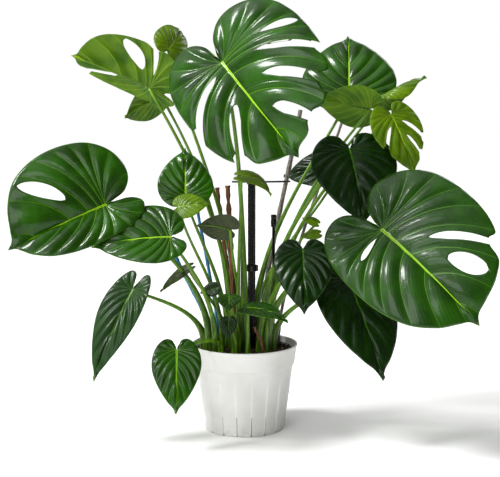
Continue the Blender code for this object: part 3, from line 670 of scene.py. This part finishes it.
def blade_axes(blade):
    """Directions at the junction: along the midrib, out of the top, to the left."""
    heading, climb, roll = (radians(blade[key]) for key in ("heading", "climb", "roll"))
    along = Vector((cos(climb) * cos(heading), cos(climb) * sin(heading), sin(climb)))
    top = (Vector((0, 0, 1)) - along.z * along).normalized()
    top = cos(roll) * top + sin(roll) * along.cross(top)
    return np.array(along), np.array(top), np.array(top.cross(along))


def bent_points(blade, flat, side):
    """Fold and cup the half blade, bend it along the midrib, and put it in its place."""
    along, top, left = blade_axes(blade)
    fold = radians(blade["fold"])
    cup = radians(blade["cup"] + side * blade["curl"]) / half_width(blade, side)
    out_way = (sin(fold) - np.sin(fold - cup * flat[..., 1])) / cup
    rise = (np.cos(fold - cup * flat[..., 1]) - cos(fold)) / cup
    bend = radians(blade["droop"]) / blade["length"]
    angle = bend * flat[..., 0]
    forward = np.sin(angle) / bend + rise * np.sin(angle)
    height = -(1 - np.cos(angle)) / bend + rise * np.cos(angle)
    return (blade["at"] + forward[..., None] * along + height[..., None] * top
            + side * out_way[..., None] * left)


def slit_half_width(slit, r):
    """Half a slit's width at r. A slit that ends before the margin is a hole."""
    _, _, start, end, width = slit
    x = np.clip((r - start) / (end - start), 0, 1)
    if end < 1:
        return width / 2 * np.sqrt(np.clip(np.sin(pi * x), 0, None))
    opening = np.sqrt(np.clip(x / 0.3, 0, 1))
    return width / 2 * opening * (1 - 0.35 * x ** 3)


def vein_count(t, bounds):
    """Which side vein is near t. Whole numbers, and slits, lie midway between veins."""
    places = [0.0] + [bound for bound in bounds if 0 < bound < 1] + [1.0]
    counts = [0.0]
    for start, end in zip(places, places[1:]):
        counts.append(counts[-1] + max(1, round((end - start) / VEIN_SPACING)))
    return np.interp(t, places, counts)


def blade_grid(blade, side):
    """The half blade's strips: for each, the margin positions and outward shares of its points."""
    own = {slit[1]: slit for slit in blade["slits"] if slit[0] == side}
    places = sorted({slit[1] for slit in blade["slits"]} | {0.0, 1.0})
    r = np.linspace(0, 1, blade["rings"] + 1)
    for start, end in zip(places, places[1:]):
        steps = max(4, round(blade["steps"] * (end - start)))
        share = np.linspace(0, 1, steps + 1)[:, None]
        low = start + (slit_half_width(own[start], r) if start in own else 0 * r)
        high = end - (slit_half_width(own[end], r) if end in own else 0 * r)
        t = low + share * (high - low)
        trim = sum(FINGER_TRIM * np.exp(-((t - cut) / FINGER_ROUND) ** 2)
                   for place, cut in ((start, low), (end, high))
                   if place in own and own[place][3] == 1)
        yield t, np.broadcast_to(r, t.shape) * (1 - trim)


def make_blade(blade, top_skin, under_skin, relief):
    """The blade: a fine grid of both halves, its relief, and a thin closed shell below it."""
    size = blade["length"]
    along, top, _ = blade_axes(blade)
    growth = (size / LARGE_LENGTH) ** 0.7
    points, faces = [], []
    values = {name: [] for name in ("count", "outward", "spacing", "rib")}
    for side in (1, -1):
        bounds = sorted(slit[1] for slit in blade["slits"] if slit[0] == side)
        for t, r in blade_grid(blade, side):
            flat = flat_points(blade, side, t, r)
            count = vein_count(t, bounds)
            t_near = np.clip(t + 0.002, 0, 1)
            passed = np.maximum(vein_count(t_near, bounds) - count, 1e-4)
            spacing = np.linalg.norm(flat_points(blade, side, t_near, r) - flat, axis=-1) / passed
            place = bent_points(blade, flat, side)
            wave = EDGE_WAVE * size * np.sin(2 * pi * (2.3 * t + 0.13 * side + size * 7)) * r ** 4
            place = place + wave[..., None] * top
            rib_width = RIB_HALF_WIDTH * growth * (1 - 0.75 * np.clip(flat[..., 0] / size, 0, 1))
            away = np.where(flat[..., 0] < 0, np.hypot(flat[..., 0], flat[..., 1]), flat[..., 1])
            base, (rows, columns) = len(points), t.shape
            points.extend(place.reshape(-1, 3))
            for name, grid in zip(values, (count, r, spacing, away / rib_width)):
                values[name].extend(grid.ravel())
            for i in range(rows - 1):
                for j in range(columns - 1):
                    a = base + i * columns + j
                    corners = (a, a + columns, a + columns + 1, a + 1)
                    faces.append(corners if side > 0 else corners[::-1])
    item = mesh_object("blade_" + blade["name"], points, [], faces)
    values["gap"] = np.array(values["spacing"]) / (VEIN_HALF_WIDTH * growth)
    give_values(item, values)
    corner_points = np.zeros(len(item.data.loops), int)
    item.data.loops.foreach_get("vertex_index", corner_points)
    veins = np.stack((values["count"], values["outward"]), -1)[corner_points]
    item.data.uv_layers.new(name="veins").data.foreach_set("uv", veins.ravel())
    weld(item)
    apply_tree(item, relief, puff=PUFF, crinkle=CRINKLE, material=top_skin)
    item.data.materials.append(under_skin)
    shell = item.modifiers.new("thickness", "SOLIDIFY")
    shell.thickness = BLADE_THICKNESS
    shell.offset = -1.0
    shell.material_offset = 1
    shell.material_offset_rim = 1
    bake(item)
    keep(item, "leaf", *blade["stands_for"])


# ---- stalks, canes and support
def bezier(start, lift, lead, end, count):
    t = np.linspace(0, 1, count)[:, None]
    s = 1 - t
    return s ** 3 * start + 3 * s * s * t * lift + 3 * s * t * t * lead + t ** 3 * end


def tube(name, chains, material, tree, **shape):
    """A tube along each chain of (points, radii)."""
    points, edges, radii, along = [], [], [], []
    for chain, sizes in chains:
        first = len(points)
        points.extend(chain)
        edges.extend((first + i, first + i + 1) for i in range(len(chain) - 1))
        radii.extend(sizes)
        along.extend(np.linspace(0, 1, len(chain)))
    item = mesh_object(name, points, edges, [])
    give_values(item, {"radius": radii, "along": along})
    return apply_tree(item, tree, material=material, **shape)


def make_stalk(blade, material, tree):
    """A petiole, thick where it sheathes its neighbours, with a swollen knee at the blade, and the
    raised midrib that it becomes under the blade."""
    _, top, _ = blade_axes(blade)
    soil_point = np.array((*blade["foot"], SOIL_TOP - SUNK))
    start = soil_point + (0, 0, STRAIGHT_FOOT + SUNK)
    end = blade["at"] - JUNCTION_DROP * top
    reach = np.array((end[0] - start[0], end[1] - start[1], 0))
    steep = radians(blade["arrive"])
    arrive = cos(steep) * reach / np.linalg.norm(reach) + (0, 0, sin(steep))
    span = np.linalg.norm(end - start)
    foot = FOOT_RADIUS + FOOT_GROWTH * blade["length"]
    neck = END_RADIUS + END_GROWTH * blade["length"]
    route = bezier(start, start + (0, 0, 0.40 * span), end - 0.30 * span * arrive, end, 30)
    route = np.vstack((soil_point, route, blade["at"] - 0.8 * neck * top))
    share = np.linspace(0, 1, len(route))
    radii = foot + (neck - foot) * share
    sheath = SHEATH_GROWTH * blade["length"] * np.exp(-(share / 0.22) ** 2)
    knee = 0.25 * np.exp(-((share - 0.93) / 0.04) ** 2)
    radii = radii * (1 + sheath + knee)
    radii[-1] *= 0.6
    x = np.linspace(-0.01, 0.93, 24) * blade["length"]
    rib_radii = neck * (0.9 - 0.75 * np.linspace(0, 1, len(x)))
    rib = bent_points(blade, np.stack((x, 0 * x), -1), 1) - (0.85 * rib_radii)[:, None] * top
    stalk = tube("stalk_" + blade["name"], [(route, radii), (rib, rib_radii)], material, tree,
                 sides=16, ribs=5.0, rib_depth=0.04)
    keep(stalk, "petiole", *blade["stalk_for"])


def make_cane(name, foot, top, foot_radius, top_radius, slot, material, tree):
    """A cane with six slightly swollen joints, or a folded, uneven dried stem or root."""
    soil_point = np.array((*foot, SOIL_TOP - SUNK))
    start = soil_point + (0, 0, STRAIGHT_FOOT + SUNK)
    top = np.array(top)
    lift = start + (0, 0, 0.25 * np.linalg.norm(top - start))
    points = np.vstack((soil_point, bezier(start, lift, start + 0.7 * (top - start), top, 48)))
    share = np.linspace(0, 1, len(points))
    joints = np.exp(-(((share * 6) % 1.0 - 0.5) / 0.05) ** 2)
    papery = slot == "dried_stem"
    curl = 0.35 * np.sin(23 * share) * np.sin(61 * share) if papery else 0.16 * joints
    radii = (foot_radius + (top_radius - foot_radius) * share) * (1 + curl)
    depth = PAPERY_RIBS if papery else 0.04
    cane = tube("fine_" + name, [(points, radii)], material, tree, ribs=5.0, rib_depth=depth)
    keep(cane, slot, name)


def upright(name, place, steps, nodes, material, tree, **shape):
    """An upright piece of the support, from its steps of (height, radius)."""
    spots, radii = [(*place, height) for height, _ in steps], [radius for _, radius in steps]
    keep(tube(name, [(spots, radii)], material, tree, **shape), "support", *nodes)


def make_support(material, tree):
    """The plant support: a ridged post under its cap, a shorter leg with a cap, and a wire hoop."""
    low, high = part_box("support_post")
    x, y = (low.x + high.x) / 2, (low.y + high.y) / 2
    buried, under_cap = SOIL_TOP - SUNK, high.z - CAP_HEIGHT
    post = [(buried, POST_RADIUS), (under_cap + 0.0004, POST_RADIUS)]
    upright("ridged_post", (x, y), post, ["support_post"], material, tree, sides=96, ribs=8.0,
            rib_depth=0.15)
    cap = [(under_cap, POST_RADIUS), (under_cap + 0.00001, 0.0079),
           (under_cap + 0.00082, CAP_RADIUS), (high.z - 0.00097, CAP_RADIUS),
           (high.z - 0.00026, 0.0081), (high.z + 0.00005, 0.0074)]
    upright("post_cap", (x, y), cap, [], material, tree, sides=72, ribs=6.0, rib_depth=0.05)
    low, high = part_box("support_leg")
    leg_place = ((low.x + high.x) / 2, (low.y + high.y) / 2)
    below_top = [(0.0225, 0.0028), (0.0224, 0.0046), (0.0214, 0.0050), (0.0090, 0.0050),
                 (0.0085, 0.0044), (0.0075, 0.0044), (0.0070, 0.0050), (0.0010, 0.0050),
                 (0, 0.0040)]
    leg = [(buried, 0.0028)] + [(high.z - depth, radius) for depth, radius in below_top]
    upright("capped_leg", leg_place, leg, ["support_leg"], material, tree, sides=40, ribs=10.0,
            rib_depth=0.03)
    low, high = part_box("support_hoop")
    height, wire = (low.z + high.z) / 2, (high.z - low.z) / 2
    back = y + CAP_RADIUS + wire + 0.0003 + HOOP_RADIUS
    hoop = [(across, back - np.sqrt(HOOP_RADIUS ** 2 - (across - x) ** 2), height)
            for across in np.linspace(low.x, high.x, 40)]
    keep(tube("wire_hoop", [(hoop, [wire] * len(hoop))], material, tree), "support", "support_hoop")


# ---- pot and soil
def wall_radius(height):
    """Outer radius of the pot: a tapered band above a body set in from it."""
    if height >= BAND_FOOT:
        share = (height - BAND_FOOT) / BAND_HEIGHT
        return BAND_FOOT_RADIUS + share * (RIM_RADIUS - BAND_FOOT_RADIUS)
    return BASE_RADIUS + height / BAND_FOOT * (BAND_FOOT_RADIUS - BAND_STEP - BASE_RADIUS)


def wall(start, end, count, inset=0.0):
    """Points of (radius, height) along the pot's wall, or so far inside it."""
    return [(wall_radius(height) - inset, height) for height in np.linspace(start, end, count)]


def turned(name, profile, steps):
    """A profile of (radius, height), outer side top to bottom, turned about Z."""
    angles = [2 * pi * i / steps for i in range(steps)]
    points = [(radius * cos(a), radius * sin(a), height)
              for radius, height in profile for a in angles]
    faces = []
    for ring in range(len(profile) - 1):
        for i in range(steps):
            a, b = ring * steps + i, ring * steps + (i + 1) % steps
            faces.append((a, a + steps, b + steps, b))
    item = mesh_object(name, points, [], faces)
    weld(item, turn_out=True)
    return item


def make_pot(material, wall_tree):
    """The pot: rolled rim, plain tapered band, panelled body with slits and notches, hollow."""
    under = BAND_FOOT - 0.0015
    lip = [(RIM_RADIUS - 0.0006 + 0.0017 * sin(a), POT_HEIGHT - 0.0022 + 0.0022 * cos(a))
           for a in np.linspace(-0.45 * pi, 0.9 * pi, 14)]
    inner = wall(FLOOR, under, 14, WALL) + wall(BAND_FOOT + 0.001, POT_HEIGHT - 0.004, 6, WALL)
    band = wall(POT_HEIGHT - 0.0055, BAND_FOOT + 0.0012, 8)
    step = [(BAND_FOOT_RADIUS - 0.0003, BAND_FOOT + 0.0004), (BAND_FOOT_RADIUS - 0.0011, BAND_FOOT)]
    body = wall(under, 0.0022, 30)
    foot = [(BASE_RADIUS - 0.0022 + 0.0022 * cos(a), 0.0022 - 0.0022 * sin(a))
            for a in np.linspace(0.15 * pi, 0.5 * pi, 5)]
    profile = [(0, FLOOR), (0.04, FLOOR)] + inner + lip + band + step + body + foot
    pot = turned("ribbed_pot", profile + [(0.04, 0), (0, 0)], 252)
    apply_tree(pot, wall_tree, material=material, top=under - 0.006)
    pot.data.shade_smooth()
    pot.data.set_sharp_from_angle(angle=radians(40))
    keep(pot, "pot", "pot")


def make_soil(soil, bark, perlite, crumbs):
    """Potting mix filling the pot, uneven on top, with crumbs, bark chips and a few pale bits."""
    rng = np.random.default_rng(11)
    shoulder = SOIL_TOP - 0.004
    fill = 0.0889
    rings = [(r, SOIL_TOP - 0.004 * max(0.0, (r - 0.070) / (fill - 0.070)) ** 2)
             for r in np.linspace(0, fill, 40)]
    side = wall(shoulder - 0.003, FLOOR + 0.0003, 8, WALL + 0.0005)
    mass = turned("potting_soil", rings + side + [(0, FLOOR + 0.0003)], 160)
    shifts = rng.uniform(0, 2 * pi, (10, 2))
    for vert in mass.data.vertices:
        if vert.co.z > shoulder - 0.001:
            bumps = [sin(90 * (k + 1) * vert.co.x + a) * sin(90 * (k + 1) * vert.co.y + b) / (k + 2)
                     for k, (a, b) in enumerate(shifts)]
            vert.co.z += 0.0006 * sum(bumps)
    mass.data.materials.append(soil)
    mass.data.shade_smooth()
    keep(mass, "soil", "soil")
    kinds = (("soil_crumbs", soil, 60000.0, (0.0028, 0.0024, 0.0020), 5),
             ("bark_chips", bark, 6500.0, (0.0080, 0.0042, 0.0022), 8),
             ("perlite_bits", perlite, 1500.0, (0.0028, 0.0026, 0.0022), 13))
    for name, material, density, size, seed in kinds:
        disc = turned(name, [(r, SOIL_TOP + 0.0004) for r in np.linspace(0.0862, 0, 12)], 48)
        apply_tree(disc, crumbs, density=density, chip_size=size, seed=seed, material=material)
        keep(disc, "soil")


# ---- room
def make_room():
    """A pale floor, a white world that lights softly from above, three soft lights, a camera."""
    corners = [(-8, -8, 0), (8, -8, 0), (8, 8, 0), (-8, 8, 0)]
    floor = mesh_object("floor", corners, [], [(0, 1, 2, 3)])
    floor.data.materials.append(floor_paint())
    scene = bpy.context.scene
    camera = put("camera", bpy.data.cameras.new("camera"), CAMERA_PLACE)
    camera.rotation_euler = (radians(90 - CAMERA_DOWN), 0, 0)
    camera.data.sensor_width = SENSOR
    camera.data.lens = LENS
    scene.camera = camera
    world = bpy.data.worlds.new("studio")
    world.use_nodes = True
    tree = world.node_tree
    tree.nodes.clear()
    way = add(tree, PLACE).outputs["Generated"]
    toward = add(tree, VECTOR_MATH, way, SOFTBOX_WAY, operation="DOT_PRODUCT").outputs["Value"]
    strength = add(tree, RANGE, toward, 0.45, 0.95, 0.13, 1.1, **SMOOTH)
    seen = add(tree, "ShaderNodeLightPath").outputs["Is Camera Ray"]
    strength = add(tree, MATH, strength, seen, operation="MAXIMUM")
    sky = add(tree, "ShaderNodeBackground", (1.0, 1.0, 1.0, 1.0), strength)
    add(tree, "ShaderNodeOutputWorld", sky)
    scene.world = world
    key = put("key", bpy.data.lights.new("key", "SUN"))
    key.rotation_euler = Vector(SOFTBOX_WAY).to_track_quat("Z", "Y").to_euler()
    key.data.angle = radians(KEY_SPREAD)
    key.data.energy = KEY_POWER
    for name, place, size, power in SOFT_LIGHTS:
        aim = Vector(PLANT_MIDDLE) - Vector(place)
        light = put(name, bpy.data.lights.new(name, "AREA"), place, facing=aim)
        light.data.size = size
        light.data.energy = power
    scene.view_settings.view_transform = "Standard"


# ---- build
def build():
    top_skins = {tone: leaf_top(tone) for tone in LEAF_TONES}
    under_skins = {tone: leaf_under(tone) for tone in UNDER_TONES}
    tubes, relief, skin = tube_tree(), relief_tree(), stalk_skin()
    for blade in LEAVES:
        make_blade(blade, top_skins[blade["tone"]], under_skins[blade["tone"]], relief)
        make_stalk(blade, skin, tubes)
    finishes = {"cane": fibrous("weathered_cane", "#4F4741", "#8A8078", 0.75),
                "blue_cane": fibrous("blue_coated_cane", "#1F5F94", "#3C9CC8", 0.45),
                "dried_stem": fibrous("dried_sheath", "#4A2412", "#8A5A34", 0.80)}
    for name, cane in CANES.items():
        make_cane(name, *cane, finishes[cane[-1]], tubes)
    black = black_plastic()
    make_support(black, tubes)
    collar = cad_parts["support_collar"]
    collar.data.materials.clear()
    collar.data.materials.append(black)
    make_pot(pot_plastic(), pot_wall_tree())
    make_soil(broken_matter("potting_mix", "#120C08", "#2A1D14", "#5A4630", 240.0, 0.95, 1.0),
              broken_matter("bark", "#2B180D", "#5A3A22", "#80603C", 180.0, 0.85, 0.8),
              broken_matter("perlite", "#8A8468", "#B9B48C", "#D8D4B0", 300.0, 0.90, 0.5),
              crumb_tree())
    make_room()


build()
bpy.context.view_layer.update()
